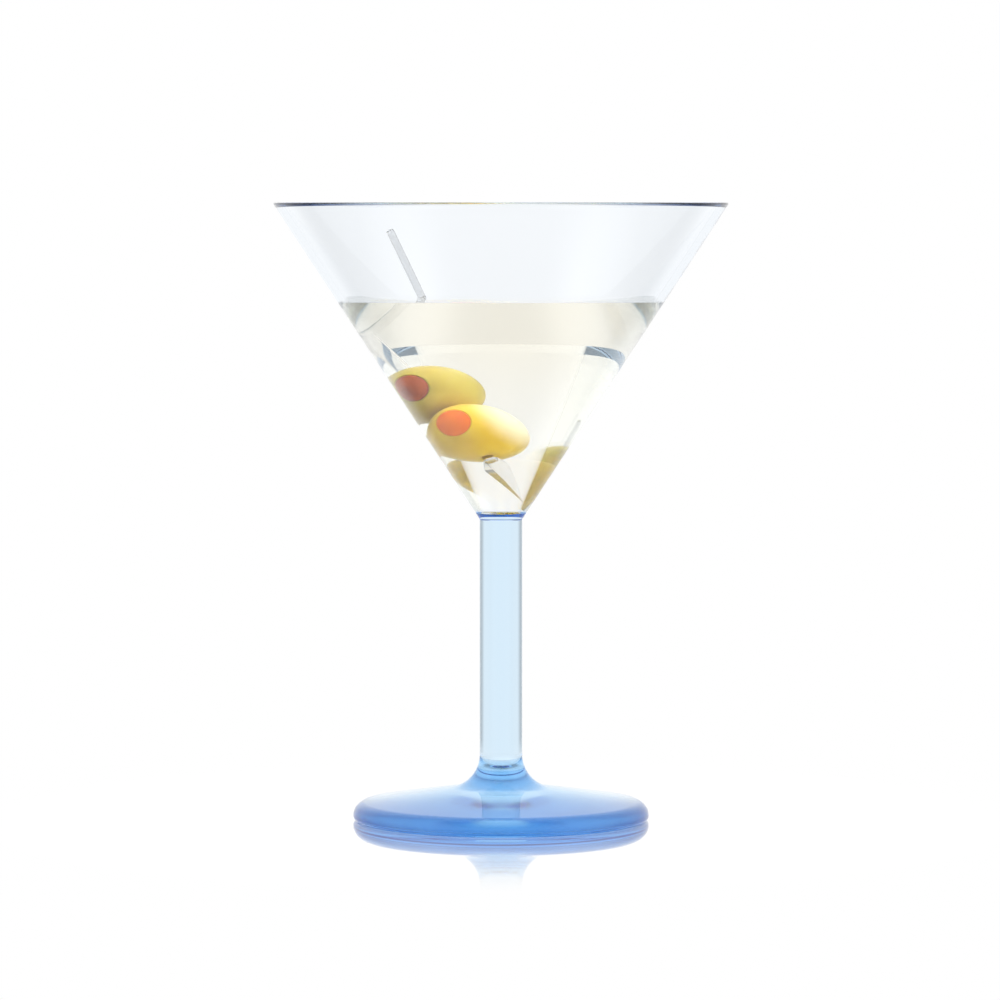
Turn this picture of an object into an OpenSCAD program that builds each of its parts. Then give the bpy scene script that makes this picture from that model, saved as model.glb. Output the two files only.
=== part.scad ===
// Martini glass in clear blue-tinted plastic, with its drink and two stuffed olives on a pick.
// Millimetres, +Z up. The origin is the centre of the foot's underside.

/* [Bowl] */
// Height of the whole glass
glass_h = 160; // [150:1:175]
// Diameter of the rim, to the sharp corner before it is rounded
rim_d = 117.9; // [100:0.1:130]
// Depth of the bowl, from the rim to the underside of its base
bowl_h = 80.2; // [72:0.1:90]
// Diameter of the underside of the bowl's base
base_d = 13.1; // [12.8:0.1:15]
// Thickness of the bowl's wall
wall = 2.2; // [1.6:0.1:3]
// Thickness of the bowl's floor
floor_t = 1; // [0.9:0.1:2.5]
// Radius inside the bowl where its wall meets its floor
floor_round = 2; // [1:0.5:3]
// Radius on the rim's two corners
rim_round = 0.3; // [0.2:0.05:0.6]

/* [Stem] */
// Diameter of the solid stem
stem_d = 11; // [9:0.1:12]
// Diameter of the spigots on the stem's two ends
spigot_d = 8; // [5:0.5:8.5]
// Length of the spigot that seats the stem in the foot
spigot_l = 9; // [5:0.5:11]
// Depth of the socket under the bowl that centres the stem's upper spigot
socket_h = 0.4; // [0.3:0.05:0.6]
// Thickness of the ring of adhesive between the stem's flared head and the bowl
bond_t = 0.3; // [0.1:0.05:0.4]

/* [Foot] */
// Diameter of the foot
foot_d = 76.8; // [70:0.2:90]
// Thickness of the foot's rounded edge
foot_edge = 4.9; // [3.5:0.1:6]
// Radius of the round under that edge
foot_under = 1.2; // [0.8:0.1:1.6]
// Slope of the foot's top, in degrees
foot_slope = 9.1; // [7:0.1:12]
// Radius of the sweep from the foot into the stem
sweep_r = 8.8; // [6:0.1:11]

/* [Drink] */
// Height of the drink's surface above the underside of the bowl
drink_level = 55.6; // [50:0.1:60]

/* [Pick] */
// Diameter of the pick
pick_d = 2.1; // [1.8:0.1:2.4]
// Length of the pick
pick_l = 82.5; // [78:0.5:100]
// Width of the pick's blade
blade_w = 4.8; // [3.8:0.1:5.4]
// Length of the blade, from its point to its shoulder
blade_l = 16; // [14:0.5:16.5]
// Direction in which the pick leans, in degrees round the glass
pick_turn = 139.4; // [0:0.2:360]

/* [Olives] */
// Length of an olive
olive_l = 24.4; // [22:0.2:25]
// Diameter of an olive
olive_d = 16; // [14:0.1:16.2]
// Diameter of the pimento
pimento_d = 7.7; // [6:0.1:8]
// Depth of the pimento below the olive's middle
pimento_depth = 6; // [2:0.5:8]

/* [Hidden] */
$fn = 96;

// The bowl is a cone: its outside is at outer_r(z) and its inside at inner_r(z)
bowl_z = glass_h - bowl_h;
wall_slope = (rim_d - base_d) / 2 / bowl_h;
wall_lean = atan(wall_slope);
wall_across = wall / cos(wall_lean);
floor_z = bowl_z + floor_t;
function outer_r(z) = rim_d / 2 - wall_slope * (glass_h - z);
function inner_r(z) = outer_r(z) - wall_across;

// The stem's head carries the bowl's cone on below the ring of adhesive, until it is as thin as the stem
bond_z = bowl_z - bond_t;
head_z = bowl_z - (base_d - stem_d) / 2 / wall_slope;

// The foot's top is a slope between the large round over its edge and the sweep into the stem
over_r = foot_edge - foot_under;
over_at = [foot_d / 2 - over_r, foot_under];
under_at = [foot_d / 2 - foot_under, foot_under];
slope_up = [sin(foot_slope), cos(foot_slope)];
sweep_x = stem_d / 2 + sweep_r;
sweep_z = (over_at * slope_up + over_r + sweep_r - sweep_x * slope_up[0]) / slope_up[1];

// Gaps between pieces
drink_gap = 0.15;
shaft_gap = 0.08;
spigot_gap = 0.05;
spigot_end_gap = 0.3;
pimento_gap = 0.02;

// The pick leans a little less than the wall, so that what slides up it stays clear of the wall
lean_spare = 0.1;
pick_lean = wall_lean - lean_spare;
tip_up = 4;
pick_tip = [4.63, -1.85, bowl_z + tip_up];
pick_chamfer = 0.2;
blade_widest = 12.8;
blade_t = 1.9;
shoulder_w = 2.7;
blade_turn = 36;

// Each olive's distance up the pick from its tip, and how far off centre the pick passes through it
lower_along = 24.5;
lower_off = [-1.3, -0.2];
upper_along = 39.7;
upper_off = [0.1, -0.1];
// The turn and tilt of each olive's long axis, about the pick and up from square to it
lower_turn = 103.4;
lower_tilt = 0.8;
upper_turn = 96.7;
upper_tilt = -5.4;

// The olives are pressed flat where they meet, halfway between them
press_at = (lower_along + upper_along) / 2;
press_gap = 0.1;

// Points along an arc from one angle to another
function arc(centre, r, from, to, steps = 10) =
    [for (k = [0:steps]) let (a = from + (to - from) * k / steps) centre + r * [cos(a), sin(a)]];

// Points along an olive's outline, grown by a gap, from one angle to another
function oval(grow, from, to, steps) =
    [for (k = [0:steps]) let (a = from + (to - from) * k / steps)
        [(olive_d / 2 + grow) * cos(a), (olive_l / 2 + grow) * sin(a)]];

// The bowl's floor and the round into its wall, from the middle outwards, set in by a gap
function bowl_floor(gap) =
    let (z = floor_z + floor_round)
    let (centre = [inner_r(z) - floor_round / cos(wall_lean), z])
    concat([[0, floor_z + gap]], arc(centre, floor_round - gap, -90, -wall_lean));

function reversed(points) = [for (k = [len(points) - 1:-1:0]) points[k]];

module bowl() {
    rim_z = glass_h - rim_round;
    rim_out = [outer_r(rim_z) - rim_round / cos(wall_lean), rim_z];
    rim_in = [inner_r(rim_z) + rim_round / cos(wall_lean), rim_z];
    color("lightsteelblue", 0.45)
        rotate_extrude()
            polygon(concat(
                [[0, bowl_z + socket_h], [spigot_d / 2, bowl_z + socket_h],
                    [spigot_d / 2, bowl_z], [base_d / 2, bowl_z]],
                arc(rim_out, rim_round, -wall_lean, 90),
                arc(rim_in, rim_round, 90, 180 - wall_lean),
                reversed(bowl_floor(0))));
}

module stem() {
    spigot_r = spigot_d / 2 - spigot_gap;
    spigot_top = bowl_z + socket_h - spigot_gap;
    color("lightsteelblue", 0.45)
        rotate_extrude()
            polygon([[0, sweep_z - spigot_l], [spigot_r, sweep_z - spigot_l], [spigot_r, sweep_z],
                [stem_d / 2, sweep_z], [stem_d / 2, head_z],
                [outer_r(bond_z), bond_z], [spigot_r, bond_z],
                [spigot_r, spigot_top], [0, spigot_top]]);
}

module foot() {
    socket_z = sweep_z - spigot_l - spigot_end_gap;
    color("lightsteelblue", 0.45)
        rotate_extrude()
            polygon(concat(
                [[0, 0]],
                arc(under_at, foot_under, -90, -9),
                arc(over_at, over_r, 0, 90 - foot_slope),
                arc([sweep_x, sweep_z], sweep_r, 270 - foot_slope, 180, 16),
                [[spigot_d / 2, sweep_z], [spigot_d / 2, socket_z], [0, socket_z]]));
}

module stem_bond() {
    color("royalblue", 0.8)
        rotate_extrude()
            polygon([[spigot_d / 2, bond_z], [outer_r(bond_z), bond_z],
                [base_d / 2, bowl_z], [spigot_d / 2, bowl_z]]);
}

// Puts its children on the pick: the tip is at the origin and the shaft runs up +Z
module on_pick() {
    translate(pick_tip)
        rotate([0, pick_lean, pick_turn])
            children();
}

// Puts its children in an olive: its middle is at the origin and its pimento end is +Z
module in_olive(along, off, turn, tilt) {
    on_pick()
        translate([off[0], off[1], along])
            rotate([0, 90 - tilt, turn])
                children();
}

module in_lower() {
    in_olive(lower_along, lower_off, lower_turn, lower_tilt)
        children();
}

module in_upper() {
    in_olive(upper_along, upper_off, upper_turn, upper_tilt)
        children();
}

// The blade is a diamond seen from the front and a wedge seen from the side
module blade(grow) {
    reach = blade_w + 2;
    tip = -3 * grow;
    end = blade_l + grow;
    rotate(blade_turn)
        intersection() {
            rotate([90, 0, 0])
                linear_extrude(reach, center = true)
                    polygon([[0, tip],
                        [blade_w / 2 + grow, blade_widest], [shoulder_w / 2 + grow, end],
                        [-shoulder_w / 2 - grow, end], [-blade_w / 2 - grow, blade_widest]]);
            rotate([90, 0, 90])
                linear_extrude(reach, center = true)
                    polygon([[0, tip],
                        [blade_t / 2 + grow, blade_widest], [blade_t / 2 + grow, end],
                        [-blade_t / 2 - grow, end], [-blade_t / 2 - grow, blade_widest]]);
        }
}

module pick() {
    shaft_from = blade_widest + 1;
    color("aliceblue", 0.6)
        on_pick() {
            blade(0);
            translate([0, 0, shaft_from])
                cylinder(d = pick_d, h = pick_l - pick_chamfer - shaft_from);
            translate([0, 0, pick_l - pick_chamfer])
                cylinder(d1 = pick_d, d2 = pick_d - 2 * pick_chamfer, h = pick_chamfer);
        }
}

// The solid outline of an olive, grown by a gap
module olive_outline(grow) {
    rotate_extrude()
        polygon(oval(grow, -90, 90, 30));
}

// The hole that the pick makes through whatever it passes
module pick_hole(gap) {
    on_pick()
        translate([0, 0, blade_widest])
            cylinder(d = pick_d + 2 * gap, h = pick_l);
}

// What is above the plane where the olives meet, or below it with side = -1
module pressed_away(side) {
    on_pick()
        translate([0, 0, press_at + side * (olive_l - press_gap / 2)])
            cube([2 * olive_l, 2 * olive_l, 2 * olive_l], center = true);
}

// The flesh: the stone's channel is open at one end
module flesh() {
    difference() {
        olive_outline(0);
        translate([0, 0, -pimento_depth])
            cylinder(d = pimento_d, h = pimento_depth + olive_l);
    }
}

// The plug of pimento: it ends flush with the olive's outline
module plug() {
    r = pimento_d / 2 - pimento_gap;
    from = acos(r / (olive_d / 2));
    rotate_extrude()
        polygon(concat(
            [[0, -pimento_depth], [r, -pimento_depth]],
            oval(0, from, 90, 8)));
}

module drink() {
    level = bowl_z + drink_level;
    color("lightyellow", 0.4)
        difference() {
            rotate_extrude()
                polygon(concat(
                    bowl_floor(drink_gap),
                    [[inner_r(level) - drink_gap / cos(wall_lean), level], [0, level]]));
            in_lower()
                olive_outline(drink_gap);
            in_upper()
                olive_outline(drink_gap);
            on_pick()
                blade(drink_gap);
            pick_hole(drink_gap);
        }
}

module olive_lower() {
    color("yellowgreen")
        difference() {
            in_lower()
                flesh();
            pick_hole(shaft_gap);
            pressed_away(1);
        }
}

module olive_upper() {
    color("olivedrab")
        difference() {
            in_upper()
                flesh();
            pick_hole(shaft_gap);
            pressed_away(-1);
        }
}

module pimento_lower() {
    color("darkorange")
        difference() {
            in_lower()
                plug();
            pick_hole(shaft_gap);
            pressed_away(1);
        }
}

module pimento_upper() {
    color("chocolate")
        difference() {
            in_upper()
                plug();
            pick_hole(shaft_gap);
            pressed_away(-1);
        }
}

bowl();
stem();
foot();
stem_bond();
drink();
pick();
olive_upper();
olive_lower();
pimento_upper();
pimento_lower();
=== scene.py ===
"""Martini glass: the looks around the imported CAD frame. Metres, +Z up, the viewer looks along +Y."""

import math

import bmesh
import bpy
from mathutils import Matrix, Vector, noise


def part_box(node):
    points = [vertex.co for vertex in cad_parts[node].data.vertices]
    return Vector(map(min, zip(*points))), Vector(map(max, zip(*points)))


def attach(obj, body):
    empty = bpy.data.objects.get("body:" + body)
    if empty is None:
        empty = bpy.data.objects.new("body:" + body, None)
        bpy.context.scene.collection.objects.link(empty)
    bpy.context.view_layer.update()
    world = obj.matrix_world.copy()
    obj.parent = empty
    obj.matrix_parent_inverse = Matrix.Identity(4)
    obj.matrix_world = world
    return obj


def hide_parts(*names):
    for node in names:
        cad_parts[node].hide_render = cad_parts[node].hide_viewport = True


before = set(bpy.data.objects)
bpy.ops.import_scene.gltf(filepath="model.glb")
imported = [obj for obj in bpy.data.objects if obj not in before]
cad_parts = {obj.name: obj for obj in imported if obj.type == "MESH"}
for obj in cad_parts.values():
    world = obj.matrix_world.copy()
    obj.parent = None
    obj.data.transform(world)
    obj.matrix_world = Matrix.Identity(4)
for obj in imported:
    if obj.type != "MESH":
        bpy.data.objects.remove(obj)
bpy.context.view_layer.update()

MM = 0.001
TURNS = 256  # faces round a lathe-turned piece

# Sizes that come from the frame
bowl_lo, bowl_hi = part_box("bowl")
foot_lo, foot_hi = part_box("foot")
bond_lo, bond_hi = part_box("stem_bond")
drink_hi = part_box("drink")[1]
BOWL_Z = bowl_lo.z
GLASS_H = bowl_hi.z
FOOT_Z = foot_lo.z
SWEEP_Z = foot_hi.z
BOND_LOW = bond_lo.z
BOND_HIGH = bond_hi.z
LEVEL = drink_hi.z

# Sizes that repeat the CAD's own dimensions
RIM_R = 58.95 * MM  # to the sharp corner before it is rounded
RIM_ROUND = 0.35 * MM
WALL = 2.2 * MM
BASE_R = 6.55 * MM
FLOOR_Z = BOWL_Z + 1.0 * MM
FLOOR_ROUND = 2.0 * MM
STEM_R = 5.5 * MM
SPIGOT_R = 4.0 * MM
FOOT_R = 38.4 * MM
FOOT_EDGE = 4.9 * MM
FOOT_UNDER = 1.2 * MM
FOOT_SLOPE = math.radians(9.1)
SWEEP_R = 8.8 * MM
OLIVE_R = 8.0 * MM
OLIVE_HALF = 12.2 * MM
PIMENTO_R = 3.85 * MM
PIMENTO_DEPTH = 6.0 * MM
PICK_R = 1.05 * MM
PICK_L = 82.5 * MM

# The bowl's cone
WALL_SLOPE = (RIM_R - BASE_R) / (GLASS_H - BOWL_Z)
LEAN = math.atan(WALL_SLOPE)
WALL_ACROSS = WALL / math.cos(LEAN)
CONE_CORNER = 0.1 * MM  # round on the outer corners of the bowl's base and the stem's head

# The pick's line, and the places of the olives on it
PICK_LEAN = LEAN - math.radians(0.1)
PICK_TURN = math.radians(139.4)
PICK_TIP = Vector((4.63 * MM, -1.85 * MM, BOWL_Z + 4.0 * MM))
LOWER = (24.5 * MM, -1.3 * MM, -0.2 * MM, math.radians(103.4), math.radians(0.8))
UPPER = (39.7 * MM, 0.1 * MM, -0.1 * MM, math.radians(96.7), math.radians(-5.4))
PRESS_AT = (LOWER[0] + UPPER[0]) / 2  # height up the pick where the two olives press together

# The olives' rolled lip round the pimento, and the side towards the softbox on which their skins have painted
# light
OLIVE_LIP = 0.25 * MM
PAINTED_LIGHT_SIDE = Vector((0.8, -0.25, 0.5))

# Gaps and overlaps between the visual pieces
PRESS_GAP = 0.1 * MM  # between the two olives where they are pressed flat
JOINT_GAP = 0.03 * MM  # between the bowl's base and the stem's head
WETTING = 0.06 * MM  # how far the drink reaches into the wall, so that no air shows between them

# Refractive indices. The fruit and the wet parts of the pick are in the drink, so theirs are lower than in
# air. The last three were set against the photo.
PLASTIC_IOR = 1.49
DRINK_IOR = 1.345
FRUIT_IOR = 1.2
WET_SHAFT_IOR = 1.08
WET_BLADE_IOR = 1.16


def outer_r(z):
    return RIM_R - WALL_SLOPE * (GLASS_H - z)


def inner_r(z):
    return outer_r(z) - WALL_ACROSS


# ---------------------------------------------------------------- profiles and meshes

def arc(cx, cz, r, start, end, steps, out=1):
    """Points (r, z, normal r, normal z) along an arc, in degrees. out is -1 on a hollow arc."""
    points = []
    for k in range(steps + 1):
        a = math.radians(start + (end - start) * k / steps)
        c, s = math.cos(a), math.sin(a)
        points.append((cx + r * c, cz + r * s, out * c, out * s))
    return points


def along(a, b, steps):
    """Points between two profile points that share a normal, without the ends."""
    return [tuple(a[i] + (b[i] - a[i]) * k / steps for i in range(4)) for k in range(1, steps)]


def joined(*pieces, steps=12):
    """A profile from arcs and single points, with straight stretches between them."""
    profile = list(pieces[0])
    for piece in pieces[1:]:
        a, b = profile[-1], piece[0]
        profile += along(a, b, steps)
        profile += list(piece)
    return profile


def lathe(name, profile, place=Matrix.Identity(4), turns=TURNS, shape=None, closed=False):
    """Turns a profile round Z. Ends on the axis close to one vertex. shape(p) may move each point first.
    A closed profile is a loop off the axis, which makes a ring."""
    verts, normals, rings = [], [], []
    for r, z, nr, nz in profile:
        if r < 1e-7:
            rings.append([len(verts)])
            verts.append(Vector((0, 0, z)))
            normals.append(Vector((0, 0, math.copysign(1, nz))))
            continue
        ring = []
        for k in range(turns):
            a = 2 * math.pi * k / turns
            c, s = math.cos(a), math.sin(a)
            ring.append(len(verts))
            verts.append(Vector((r * c, r * s, z)))
            normals.append(Vector((nr * c, nr * s, nz)))
        rings.append(ring)
    faces = []
    for low, high in zip(rings, rings[1:] + rings[:1] if closed else rings[1:]):
        for k in range(turns):
            k2 = (k + 1) % turns
            if len(low) == 1:
                faces.append((low[0], high[k2], high[k]))
            elif len(high) == 1:
                faces.append((low[k], low[k2], high[0]))
            else:
                faces.append((low[k], low[k2], high[k2], high[k]))
    if shape:
        verts = [shape(v) for v in verts]
    mesh = bpy.data.meshes.new(name)
    mesh.from_pydata([place @ v for v in verts], [], faces)
    mesh.shade_smooth()
    if not shape:
        turn = place.to_3x3()
        mesh.normals_split_custom_set_from_vertices([(turn @ n).normalized() for n in normals])
    mesh.validate()
    piece = bpy.data.objects.new(name, mesh)
    bpy.context.scene.collection.objects.link(piece)
    return piece


# ---------------------------------------------------------------- materials

def new_material(name):
    material = bpy.data.materials.new(name)
    material.use_nodes = True
    nodes, links = material.node_tree.nodes, material.node_tree.links
    return material, nodes, links, nodes["Principled BSDF"], nodes["Material Output"]


def node(nodes, kind, **settings):
    made = nodes.new(kind)
    for key, value in settings.items():
        if key in made.inputs:
            made.inputs[key].default_value = value
        else:
            setattr(made, key, value)
    return made


def own_metres(nodes):
    """Places in the object's own metres."""
    return node(nodes, "ShaderNodeTexCoord").outputs["Object"]


def noise_at(nodes, links, where, scale, detail=2.0):
    texture = node(nodes, "ShaderNodeTexNoise", Scale=scale, Detail=detail)
    links.new(where, texture.inputs["Vector"])
    return texture.outputs["Fac"]


def map_range(nodes, links, value, start, end, low=0.0, high=1.0, **settings):
    """Carries a value from the range start to end over to the range low to high, and stops at its ends."""
    made = node(nodes, "ShaderNodeMapRange", **settings)
    for name, number in (("From Min", start), ("From Max", end), ("To Min", low), ("To Max", high)):
        made.inputs[name].default_value = number
    links.new(value, made.inputs["Value"])
    return made.outputs["Result"]


def maths(nodes, links, operation, *values):
    """A sum, product or the like of sockets and numbers."""
    made = node(nodes, "ShaderNodeMath", operation=operation)
    for socket, value in zip(made.inputs, values):
        if isinstance(value, (int, float)):
            socket.default_value = value
        else:
            links.new(value, socket)
    return made.outputs["Value"]


def reach_towards(nodes, links, vector, direction):
    """How far a vector reaches in a direction."""
    product = node(nodes, "ShaderNodeVectorMath", operation="DOT_PRODUCT")
    product.inputs[1].default_value = Vector(direction).normalized()
    links.new(vector, product.inputs[0])
    return product.outputs["Value"]


def xyz_of(nodes, links, vector):
    split = node(nodes, "ShaderNodeSeparateXYZ")
    links.new(vector, split.inputs["Vector"])
    return split.outputs["X"], split.outputs["Y"], split.outputs["Z"]


def two_tones(nodes, links, value, start, deep, end, pale):
    """A colour that goes from deep to pale while a value goes from start to end."""
    ramp = node(nodes, "ShaderNodeValToRGB")
    for stop, position, colour in zip(ramp.color_ramp.elements, (start, end), (deep, pale)):
        stop.position = position
        stop.color = colour
    links.new(value, ramp.inputs["Fac"])
    return ramp.outputs["Color"]


def mixed(nodes, links, amount, colour, plain):
    """A colour mixed with a plain one."""
    mix = node(nodes, "ShaderNodeMix", data_type="RGBA")
    mix.inputs["B"].default_value = plain
    links.new(amount, mix.inputs["Factor"])
    links.new(colour, mix.inputs["A"])
    return mix.outputs["Result"]


def roughen(nodes, links, shader, value, low, high):
    """Roughness that varies between low and high."""
    links.new(map_range(nodes, links, value, 0.0, 1.0, low, high), shader.inputs["Roughness"])


def raise_skin(nodes, links, shader, value, strength, height):
    bump = node(nodes, "ShaderNodeBump", Strength=strength, Distance=height)
    links.new(value, bump.inputs["Height"])
    links.new(bump.outputs["Normal"], shader.inputs["Normal"])


def clear(name, ior, tint, density, rough=(0.0, 0.012), ground=0.0):
    """A clear solid: it refracts at its surface, and its colour deepens with the way through.
    ground is the added roughness of the flat underside that the glass stands on."""
    material, nodes, links, shader, output = new_material(name)
    shader.inputs["Base Color"].default_value = (1, 1, 1, 1)
    shader.inputs["IOR"].default_value = ior
    shader.inputs["Transmission Weight"].default_value = 1.0
    where = own_metres(nodes)
    uneven = map_range(nodes, links, noise_at(nodes, links, where, 60.0), 0.0, 1.0, *rough)
    if ground:
        height = xyz_of(nodes, links, where)[2]
        under = map_range(nodes, links, height, 0.05 * MM, 0.15 * MM, ground, 0.0)
        uneven = maths(nodes, links, "ADD", under, uneven)
    links.new(uneven, shader.inputs["Roughness"])
    absorb = node(nodes, "ShaderNodeVolumeAbsorption", Color=tint, Density=density)
    links.new(absorb.outputs["Volume"], output.inputs["Volume"])
    return material


def milky(name, colour, ior, transmission):
    """A half-clear plastic: part of the light scatters white at its surface and the rest goes through."""
    material, nodes, links, shader, output = new_material(name)
    roughen(nodes, links, shader, noise_at(nodes, links, own_metres(nodes), 300.0), 0.05, 0.12)
    shader.inputs["Base Color"].default_value = colour
    shader.inputs["IOR"].default_value = ior
    shader.inputs["Transmission Weight"].default_value = transmission
    return material


def per_metre(red, green, blue):
    """An absorption per metre for each colour, as the tint and density of a Volume Absorption node."""
    density = max(red, green, blue) * 1.02
    return (1 - red / density, 1 - green / density, 1 - blue / density, 1), density


def olive_skin(name, pale, deep, painted_light_colour, place):
    """Wet olive skin: flecks and slow changes of colour, and painted light: the side towards the softbox is
    mixed towards a third, lit colour.
    """
    material, nodes, links, shader, output = new_material(name)
    where = own_metres(nodes)
    slow = noise_at(nodes, links, where, 140.0, 3.0)
    fine = noise_at(nodes, links, where, 1500.0)
    mottled = two_tones(nodes, links, slow, 0.3, deep, 0.7, pale)
    flecks = map_range(nodes, links, fine, 0.62, 0.75, 0.0, 0.35)
    flecked = mixed(nodes, links, flecks, mottled, pale)
    # Painted light: how far a point lies towards the softbox side sets how much of the lit colour is mixed in
    from_middle = node(nodes, "ShaderNodeVectorMath", operation="SUBTRACT")
    from_middle.inputs[1].default_value = in_olive(place).translation
    links.new(where, from_middle.inputs[0])
    aside = reach_towards(nodes, links, from_middle.outputs["Vector"], PAINTED_LIGHT_SIDE)
    painted_light_mask = map_range(nodes, links, aside, 3.0 * MM, 8.5 * MM, interpolation_type="SMOOTHSTEP")
    links.new(mixed(nodes, links, painted_light_mask, flecked, painted_light_colour), shader.inputs["Base Color"])
    roughen(nodes, links, shader, slow, 0.18, 0.32)
    raise_skin(nodes, links, shader, fine, 0.25, 0.1 * MM)
    shader.inputs["IOR"].default_value = FRUIT_IOR
    shader.inputs["Sheen Weight"].default_value = 0.12
    shader.inputs["Sheen Roughness"].default_value = 0.4
    shader.inputs["Subsurface Weight"].default_value = 0.2
    shader.inputs["Subsurface Radius"].default_value = (1.0, 0.7, 0.2)
    shader.inputs["Subsurface Scale"].default_value = 1.5 * MM
    return material


def pimento_flesh(name, pale, deep):
    """Moist pimento: soft mottling between two reds."""
    material, nodes, links, shader, output = new_material(name)
    slow = noise_at(nodes, links, own_metres(nodes), 420.0, 3.0)
    links.new(two_tones(nodes, links, slow, 0.35, deep, 0.65, pale), shader.inputs["Base Color"])
    roughen(nodes, links, shader, slow, 0.25, 0.4)
    raise_skin(nodes, links, shader, slow, 0.3, 0.2 * MM)
    shader.inputs["IOR"].default_value = FRUIT_IOR
    return material


def finish_with(piece, material, body, slot, *replaced):
    piece.data.materials.clear()
    piece.data.materials.append(material)
    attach(piece, body)
    if replaced:
        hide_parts(*replaced)


# ---------------------------------------------------------------- the glass

def cone_corner(z, start, end, steps):
    """A small round on an outer corner of the cone, its middle at height z, tangent to the cone's side."""
    return arc(outer_r(z) - CONE_CORNER / math.cos(LEAN), z, CONE_CORNER, start, end, steps)


def bowl_profile():
    """From the middle of the base's underside, up the outside, over the rim and down to the floor."""
    lean = math.degrees(LEAN)
    top_z = GLASS_H - RIM_ROUND
    out_r = outer_r(top_z) - RIM_ROUND / math.cos(LEAN)
    in_r = inner_r(top_z) + RIM_ROUND / math.cos(LEAN)
    floor_at = FLOOR_Z + FLOOR_ROUND
    floor_r = inner_r(floor_at) - FLOOR_ROUND / math.cos(LEAN)
    return joined(
        [(0, BOWL_Z, 0, -1)],
        cone_corner(BOWL_Z + CONE_CORNER, -90, -lean, 6),
        arc(out_r, top_z, RIM_ROUND, -lean, 90, 12),
        arc(in_r, top_z, RIM_ROUND, 90, 180 - lean, 8),
        arc(floor_r, floor_at, FLOOR_ROUND, -lean, -90, 12, -1),
        [(0, FLOOR_Z, 0, 1)],
    )


def stem_profile():
    """From the middle of the foot's underside, over the foot, up the stem and its flared head to the bowl."""
    lean = math.degrees(LEAN)
    slope = math.degrees(FOOT_SLOPE)
    over = FOOT_EDGE - FOOT_UNDER
    bend = 0.6 * MM  # the round where the stem starts to flare
    bend_z = GLASS_H - (RIM_R - STEM_R) / WALL_SLOPE - bend * math.tan(LEAN / 2)
    end_z = BOWL_Z - JOINT_GAP
    return joined(
        [(0, FOOT_Z, 0, -1)],
        arc(FOOT_R - FOOT_UNDER, FOOT_Z + FOOT_UNDER, FOOT_UNDER, -90, 0, 12),
        arc(FOOT_R - over, FOOT_Z + FOOT_UNDER, over, 0, 90 - slope, 32)[1:],
        arc(STEM_R + SWEEP_R, SWEEP_Z, SWEEP_R, 270 - slope, 180, 40, -1),
        arc(STEM_R + bend, bend_z, bend, 180, 180 - lean, 6, -1),
        cone_corner(end_z - CONE_CORNER, -lean, 90, 8),
        [(0, end_z, 0, 1)],
    )


def build_glass():
    tint, density = per_metre(16, 9, 2.4)
    bowl = lathe("bowl_shell", bowl_profile())
    finish_with(bowl, clear("clear_pale_plastic", PLASTIC_IOR, tint, density),
                "glass", "clear_plastic", "bowl")
    tint, density = per_metre(34, 15, 2.6)
    stem = lathe("stem_and_foot", stem_profile(), turns=2 * TURNS)
    finish_with(stem, clear("clear_blue_plastic", PLASTIC_IOR, tint, density, ground=0.2),
                "glass", "clear_plastic", "stem", "foot")


def build_bond():
    """The ring of adhesive, a thin ring with rounded edges set into the top of the stem's head."""
    corner = 0.04 * MM
    low = BOND_LOW + corner
    high = BOND_HIGH - 2 * JOINT_GAP - corner
    skin = 0.04 * MM + corner  # how far the ring's edge is inside the head's side
    film = lathe("stem_bond_ring", joined(
        arc(SPIGOT_R + corner, low, corner, 180, 270, 4),
        arc(outer_r(low) - skin, low, corner, 270, 360, 4),
        arc(outer_r(high) - skin, high, corner, 0, 90, 4),
        arc(SPIGOT_R + corner, high, corner, 90, 180, 4), steps=6), closed=True)
    material, nodes, links, shader, output = new_material("blue_adhesive")
    slow = noise_at(nodes, links, own_metres(nodes), 400.0)
    blues = two_tones(nodes, links, slow, 0.0, (0.008, 0.09, 0.42, 1), 1.0, (0.02, 0.17, 0.6, 1))
    links.new(blues, shader.inputs["Base Color"])
    roughen(nodes, links, shader, slow, 0.3, 0.5)
    shader.inputs["Specular IOR Level"].default_value = 0.0
    finish_with(film, material, "glass", "bond", "stem_bond")


# ---------------------------------------------------------------- the drink

def build_drink():
    lean = math.degrees(LEAN)
    floor_at = FLOOR_Z + FLOOR_ROUND
    floor_r = inner_r(floor_at) - FLOOR_ROUND / math.cos(LEAN)
    edge = 0.03 * MM  # round on the edge of the surface, hidden in the wall
    edge_r = inner_r(LEVEL - edge) + (WETTING - edge) / math.cos(LEAN)
    profile = joined(
        [(0, FLOOR_Z - WETTING, 0, -1)],
        arc(floor_r, floor_at, FLOOR_ROUND + WETTING, -90, -lean, 12),
        arc(edge_r, LEVEL - edge, edge, -lean, 90, 8),
        [(0, LEVEL, 0, 1)],
    )
    tint, density = per_metre(0.1, 1.0, 3.2)
    drink = lathe("drink_body", profile)
    finish_with(drink, clear("straw_drink", DRINK_IOR, tint, density, rough=(0.0, 0.004)),
                "drink", "drink", "drink")


# ---------------------------------------------------------------- the pick and the olives

def on_pick():
    """The pick's own frame: its tip at the origin and its shaft up +Z."""
    turn = Matrix.Rotation(PICK_TURN, 4, "Z") @ Matrix.Rotation(PICK_LEAN, 4, "Y")
    return Matrix.Translation(PICK_TIP) @ turn


def in_olive(place):
    """An olive's own frame: its middle at the origin and its pimento end +Z."""
    up, off_x, off_y, turn, tilt = place
    spin = Matrix.Rotation(turn, 4, "Z") @ Matrix.Rotation(math.pi / 2 - tilt, 4, "Y")
    return on_pick() @ Matrix.Translation((off_x, off_y, up)) @ spin


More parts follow.
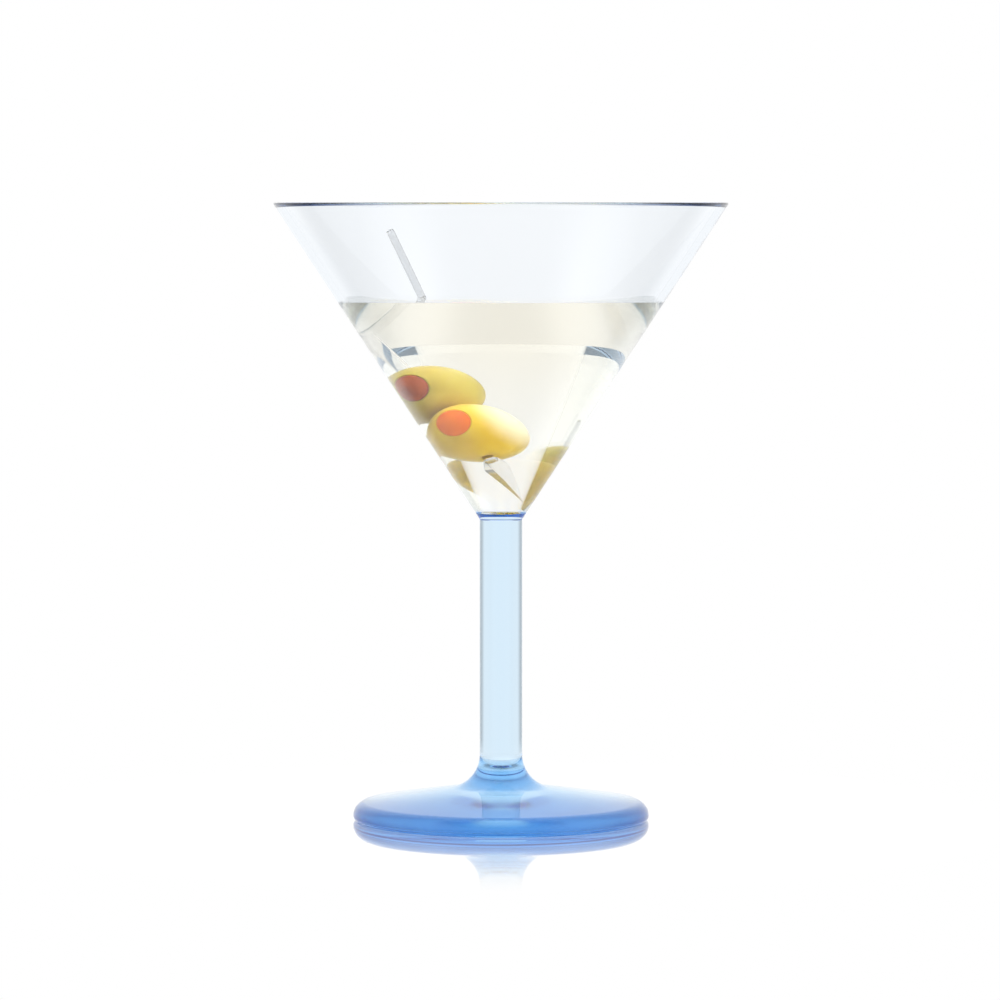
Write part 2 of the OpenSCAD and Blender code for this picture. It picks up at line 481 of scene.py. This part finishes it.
def build_pick():
    """A round shaft with a flat-cut top, and a faceted spearhead at its lower end."""
    bm = bmesh.new()
    blade_turn = math.radians(36)
    # Half width, half thickness and width of the flat ridge at heights up the blade
    sections = [
        (0.0, 0.05 * MM, 0.04 * MM, 0.3),
        (4.0 * MM, 0.75 * MM, 0.34 * MM, 0.26),
        (8.5 * MM, 1.6 * MM, 0.65 * MM, 0.26),
        (12.3 * MM, 2.3 * MM, 0.9 * MM, 0.28),
        (13.2 * MM, 2.4 * MM, 0.95 * MM, 0.3),
        (15.9 * MM, 1.4 * MM, 1.0 * MM, 0.5),
    ]
    rings = []
    for z, half_w, half_t, ridge in sections:
        ring = []
        for x, y in ((1, 0), (ridge, 1), (-ridge, 1), (-1, 0), (-ridge, -1), (ridge, -1)):
            p = Matrix.Rotation(blade_turn, 3, "Z") @ Vector((half_w * x, half_t * y, z))
            ring.append(bm.verts.new(p))
        rings.append(ring)
    for low, high in zip(rings, rings[1:]):
        for k in range(6):
            bm.faces.new((low[k], low[(k + 1) % 6], high[(k + 1) % 6], high[k]))
    bm.faces.new(list(reversed(rings[0])))
    bm.faces.new(rings[-1])
    bmesh.ops.recalc_face_normals(bm, faces=bm.faces)
    mesh = bpy.data.meshes.new("pick_blade")
    bm.to_mesh(mesh)
    bm.free()
    mesh.transform(on_pick())
    blade = bpy.data.objects.new("pick_blade", mesh)
    bpy.context.scene.collection.objects.link(blade)
    # The shaft is in two lengths, because clear plastic bends light less in the drink than in the air
    chamfer = 0.2 * MM
    start = 15.0 * MM
    waterline = (LEVEL - PICK_TIP.z) / math.cos(PICK_LEAN)
    wet = lathe("pick_shaft_in_drink", [
        (0, start, 0, -1), (PICK_R, start, 1, 0),
        (PICK_R, waterline, 1, 0), (0, waterline, 0, 1)], on_pick(), 48)
    dry = lathe("pick_shaft", joined(
        [(0, waterline, 0, -1), (PICK_R, waterline, 1, 0)],
        arc(PICK_R - chamfer, PICK_L - chamfer, chamfer, 0, 90, 5),
        [(0, PICK_L, 0, 1)], steps=20), on_pick(), 48)
    in_air = milky("milky_pick", (0.79, 0.8, 0.81, 1), PLASTIC_IOR, 0.93)
    finish_with(dry, in_air, "pick", "pick", "pick")
    pale = (0.96, 0.96, 0.96, 1)
    finish_with(wet, milky("clear_pick_in_drink", pale, WET_SHAFT_IOR, 0.96), "pick", "pick")
    finish_with(blade, milky("clear_blade_in_drink", pale, WET_BLADE_IOR, 0.9), "pick", "pick")


def lumpy(seed, amount):
    """Moves a point in or out a little, slowly over the surface, as on a fruit."""
    offset = Vector((seed * 7.3, seed * 3.1, seed * 5.7))

    def shape(v):
        wave = noise.noise(v / (9 * MM) + offset)
        return v * (1 + amount * wave)

    return shape


def pressed(piece, side):
    """Flattens an olive softly where it pushes against the other one: side is 1 on its upper side, or -1."""
    soft = 0.5 * MM
    to_pick = on_pick().inverted()
    for vertex in piece.data.vertices:
        p = to_pick @ vertex.co
        past = side * (p.z - PRESS_AT) + PRESS_GAP / 2 + soft
        if past > 0:
            p.z -= side * (past - soft * (1 - math.exp(-past / soft)))
            vertex.co = on_pick() @ p


def puckered(piece, up):
    """Draws an olive's skin in a little where the pick goes in and comes out."""
    depth = 0.35 * MM
    reach = 2.6 * MM
    to_pick = on_pick().inverted()
    for vertex in piece.data.vertices:
        p = to_pick @ vertex.co
        near = 1 - (p.x * p.x + p.y * p.y) / reach ** 2
        if near > 0:
            p.z -= math.copysign(depth * near * near, p.z - up)
            vertex.co = on_pick() @ p


def oval(r, half, start, end, steps):
    """Points along an ellipse, in degrees from its widest circle."""
    points = []
    for k in range(steps + 1):
        a = math.radians(start + (end - start) * k / steps)
        c, s = math.cos(a), math.sin(a)
        size = math.hypot(c / r, s / half)
        points.append((max(r * c, 0), half * s, c / r / size, s / half / size))
    return points


def olive_profile(open_at, mouth_z):
    """The outline from the far tip to the mouth, its rolled lip, and the stone's channel down to its end."""
    lip_steps = 6
    wall_steps = 12
    end_steps = 4
    channel_h = mouth_z + PIMENTO_DEPTH
    profile = oval(OLIVE_R, OLIVE_HALF, -90, open_at, 72)
    for k in range(1, lip_steps + 1):
        a = math.radians(90 * k / lip_steps)
        r = PIMENTO_R + OLIVE_LIP * (1 - math.sin(a))
        profile.append((r, mouth_z - OLIVE_LIP * (1 - math.cos(a)), -1, 0))
    profile += [(PIMENTO_R, mouth_z - channel_h * k / wall_steps, -1, 0) for k in range(1, wall_steps + 1)]
    profile += [(PIMENTO_R * (1 - k / end_steps), -PIMENTO_DEPTH, 0, 1) for k in range(1, end_steps + 1)]
    return profile


def plug_profile(mouth_z):
    """The pimento: a plug that fills the channel, with a domed end that is flush with the olive's outline."""
    side_steps = 12
    channel_h = mouth_z + PIMENTO_DEPTH
    r = PIMENTO_R - 0.04 * MM
    foot = 0.05 * MM - PIMENTO_DEPTH
    profile = [(0, foot, 0, -1), (r, foot, 0, -1)]
    profile += [(r, channel_h * k / side_steps - PIMENTO_DEPTH, 1, 0) for k in range(1, side_steps)]
    return profile + oval(OLIVE_R, OLIVE_HALF, math.degrees(math.acos(r / OLIVE_R)), 90, 16)


def drilled(piece, bore):
    """Cuts the pick's hole through a piece, and keeps the result as its mesh."""
    cut = piece.modifiers.new("pick_hole", "BOOLEAN")
    cut.operation = "DIFFERENCE"
    cut.solver = "EXACT"
    cut.object = bore
    depsgraph = bpy.context.evaluated_depsgraph_get()
    mesh = bpy.data.meshes.new_from_object(piece.evaluated_get(depsgraph))
    piece.modifiers.clear()
    piece.data = mesh
    mesh.shade_smooth()
    mesh.set_sharp_from_angle(angle=math.radians(38))


def build_olive(name, cad_node, plug_name, plug_node, place, side, seed, skin, flesh):
    """An olive and its pimento, drilled for the pick and pressed flat against the other olive.
    The olive's name is also its body's, and the CAD nodes it names are the ones its pieces replace, which are
    hidden."""
    open_at = math.degrees(math.acos((PIMENTO_R + OLIVE_LIP) / OLIVE_R))
    mouth_z = OLIVE_HALF * math.sin(math.radians(open_at))
    olive = lathe(name, olive_profile(open_at, mouth_z), in_olive(place), 192, lumpy(seed, 0.012))
    r = PICK_R + 0.03 * MM
    bore_profile = [(0, 0, 0, -1), (r, 0, 0, -1), (r, PICK_L, 1, 0), (0, PICK_L, 0, 1)]
    bore = lathe(name + "_bore", bore_profile, on_pick(), 48)
    plug = lathe(plug_name, plug_profile(mouth_z), in_olive(place), 128, lumpy(seed + 0.5, 0.01))
    puckered(olive, place[0])
    for piece in (olive, plug):
        pressed(piece, side)
        drilled(piece, bore)
    bpy.data.objects.remove(bore)
    finish_with(olive, skin, name, cad_node, cad_node)
    finish_with(plug, flesh, name, plug_node, plug_node)


def build_olives():
    # Each skin's third colour is its painted light on the softbox side: near white on the lower olive, and a
    # dull tone close to the upper olive's own
    lower_skin = olive_skin("lower_olive_skin", (0.98, 0.66, 0.05, 1), (0.86, 0.54, 0.02, 1),
                            (1.0, 0.95, 0.7, 1), LOWER)
    # The upper olive is a greener fruit than the lower one, and its colours are also darker: painted shade
    # for the upper pair, which sits higher and further back
    upper_skin_with_painted_shade = olive_skin("upper_olive_skin_painted_shade", (0.66, 0.53, 0.08, 1), (0.54, 0.41, 0.04, 1),
                            (0.58, 0.49, 0.1, 1), UPPER)
    lower_flesh = pimento_flesh("lower_pimento_flesh", (1.0, 0.22, 0.005, 1), (0.95, 0.17, 0.005, 1))
    # The upper pimento is a darker copy of the lower one's reds: painted shade
    upper_flesh_with_painted_shade = pimento_flesh("upper_pimento_flesh_painted_shade", (0.5, 0.1, 0.015, 1), (0.36, 0.06, 0.01, 1))
    build_olive("lower_olive", "olive_lower", "lower_pimento", "pimento_lower",
                LOWER, 1, 1, lower_skin, lower_flesh)
    build_olive("upper_olive", "olive_upper", "upper_pimento", "pimento_upper",
                UPPER, -1, 2, upper_skin_with_painted_shade, upper_flesh_with_painted_shade)


# ---------------------------------------------------------------- the studio

def build_floor():
    """A white floor that is glossy near the foot and fades to plain white further out."""
    mesh = bpy.data.meshes.new("studio_floor")
    reach = 25 * GLASS_H
    z = FOOT_Z - 0.02 * MM
    mesh.from_pydata([(-reach, -reach, z), (reach, -reach, z), (reach, reach, z), (-reach, reach, z)],
                     [], [(0, 1, 2, 3)])
    floor = bpy.data.objects.new("studio_floor", mesh)
    bpy.context.scene.collection.objects.link(floor)
    material = bpy.data.materials.new("white_sweep")
    material.use_nodes = True
    nodes, links = material.node_tree.nodes, material.node_tree.links
    nodes.clear()
    output = node(nodes, "ShaderNodeOutputMaterial")
    where = own_metres(nodes)
    length = node(nodes, "ShaderNodeVectorMath", operation="LENGTH")
    links.new(where, length.inputs[0])
    distance = length.outputs["Value"]
    # Dark flags to the left and right, which show only through the glass and in its reflections
    direction = node(nodes, "ShaderNodeVectorMath", operation="NORMALIZE")
    links.new(where, direction.inputs[0])
    aside = maths(nodes, links, "ABSOLUTE", xyz_of(nodes, links, direction.outputs["Vector"])[0])
    flag = map_range(nodes, links, aside, 0.6, 0.9, interpolation_type="SMOOTHSTEP")
    outside = map_range(nodes, links, distance, GLASS_H * 0.8, GLASS_H * 1.2)
    shade = maths(nodes, links, "MULTIPLY", flag, outside)
    path = node(nodes, "ShaderNodeLightPath")
    unseen = maths(nodes, links, "SUBTRACT", 1.0, path.outputs["Is Camera Ray"])
    shade = maths(nodes, links, "MULTIPLY", shade, unseen)
    white = node(nodes, "ShaderNodeEmission", Color=(1, 1, 1, 1))
    links.new(map_range(nodes, links, shade, 0.0, 1.0, 1.0, 0.45), white.inputs["Strength"])
    gloss = node(nodes, "ShaderNodeBsdfGlossy", Color=(1, 1, 1, 1), Roughness=0.03)
    mix = node(nodes, "ShaderNodeMixShader")
    links.new(map_range(nodes, links, distance, FOOT_R * 1.2, FOOT_R * 3.5, 0.85, 0.0), mix.inputs["Fac"])
    links.new(white.outputs["Emission"], mix.inputs[1])
    links.new(gloss.outputs["BSDF"], mix.inputs[2])
    links.new(mix.outputs["Shader"], output.inputs["Surface"])
    mesh.materials.append(material)


def light_patch(nodes, links, way, direction, start, end, level):
    """The strength of a soft round patch of light: none at an angle with cosine start, all of it at end."""
    facing = reach_towards(nodes, links, way, direction)
    return map_range(nodes, links, facing, start, end, 0.0, level, interpolation_type="SMOOTHSTEP")


def total(nodes, links, first, *others):
    for other in others:
        first = maths(nodes, links, "ADD", first, other)
    return first


def build_world():
    """Bright-field light: white behind the glass, dimmer in front and overhead, brighter at both sides."""
    world = bpy.data.worlds.new("bright_field")
    bpy.context.scene.world = world
    world.use_nodes = True
    nodes, links = world.node_tree.nodes, world.node_tree.links
    nodes.clear()
    output = node(nodes, "ShaderNodeOutputWorld")
    way = node(nodes, "ShaderNodeTexCoord").outputs["Generated"]
    x, y, z = xyz_of(nodes, links, way)
    depth = map_range(nodes, links, y, -0.95, -0.4, 0.4, 1.0)
    overhead = light_patch(nodes, links, way, (0, -0.46, 0.89), 0.75, 0.95, -0.6)
    behind = light_patch(nodes, links, way, (0, 1, 0), 0.85, 0.98, 0.04)
    above_behind = light_patch(nodes, links, way, (-0.1, 0.78, 0.6), 0.8, 0.97, 0.16)
    mirrored = node(nodes, "ShaderNodeCombineXYZ")
    links.new(maths(nodes, links, "ABSOLUTE", x), mirrored.inputs["X"])
    links.new(y, mirrored.inputs["Y"])
    links.new(z, mirrored.inputs["Z"])
    sides = light_patch(nodes, links, mirrored.outputs["Vector"], (0.88, -0.35, 0.3), 0.7, 0.92, 0.3)
    # What the olives scatter comes from a stronger light, most of it a softbox to the right and above.
    # It is weak where the view passes no glass, or an olive that is lifted out would be too bright in it.
    path = node(nodes, "ShaderNodeLightPath")
    softbox = light_patch(nodes, links, way, (0.93, -0.15, 0.33), 0.15, 0.95, 4.6)
    scattered = maths(nodes, links, "GREATER_THAN", path.outputs["Diffuse Depth"], 0.5)
    scattered = maths(nodes, links, "MULTIPLY", maths(nodes, links, "ADD", softbox, 1.2), scattered)
    through_glass = map_range(nodes, links, path.outputs["Transmission Depth"], 0.0, 1.0, 0.06, 1.0)
    onto_olives = maths(nodes, links, "MULTIPLY", scattered, through_glass)
    strength = total(nodes, links, depth, overhead, behind, above_behind, sides, onto_olives)
    seen = node(nodes, "ShaderNodeBackground", Color=(1, 1, 1, 1), Strength=1.0)
    light = node(nodes, "ShaderNodeBackground", Color=(1, 1, 1, 1))
    links.new(strength, light.inputs["Strength"])
    mix = node(nodes, "ShaderNodeMixShader")
    links.new(path.outputs["Is Camera Ray"], mix.inputs["Fac"])
    links.new(light.outputs["Background"], mix.inputs[1])
    links.new(seen.outputs["Background"], mix.inputs[2])
    links.new(mix.outputs["Shader"], output.inputs["Surface"])


def build_camera():
    """Level with the rim, eight glass-heights away, and tilted down to the middle of the view."""
    distance = 7.975 * GLASS_H
    view_width = 1.6174 * GLASS_H
    aside = -0.0016 * GLASS_H
    aim = Vector((aside, 0, 0.5197 * GLASS_H))
    data = bpy.data.cameras.new("camera")
    camera = bpy.data.objects.new("camera", data)
    bpy.context.scene.collection.objects.link(camera)
    camera.location = (aside, -distance, GLASS_H)
    sight = aim - camera.location
    camera.rotation_euler = sight.to_track_quat("-Z", "Y").to_euler()
    data.sensor_width = 36
    data.lens = data.sensor_width * sight.length / view_width
    bpy.context.scene.camera = camera


build_camera()
build_glass()
build_bond()
build_drink()
build_pick()
build_olives()
build_floor()
build_world()

scene = bpy.context.scene
scene.view_settings.view_transform = "Standard"
scene.cycles.max_bounces = 64
scene.cycles.transmission_bounces = 64
scene.cycles.glossy_bounces = 32
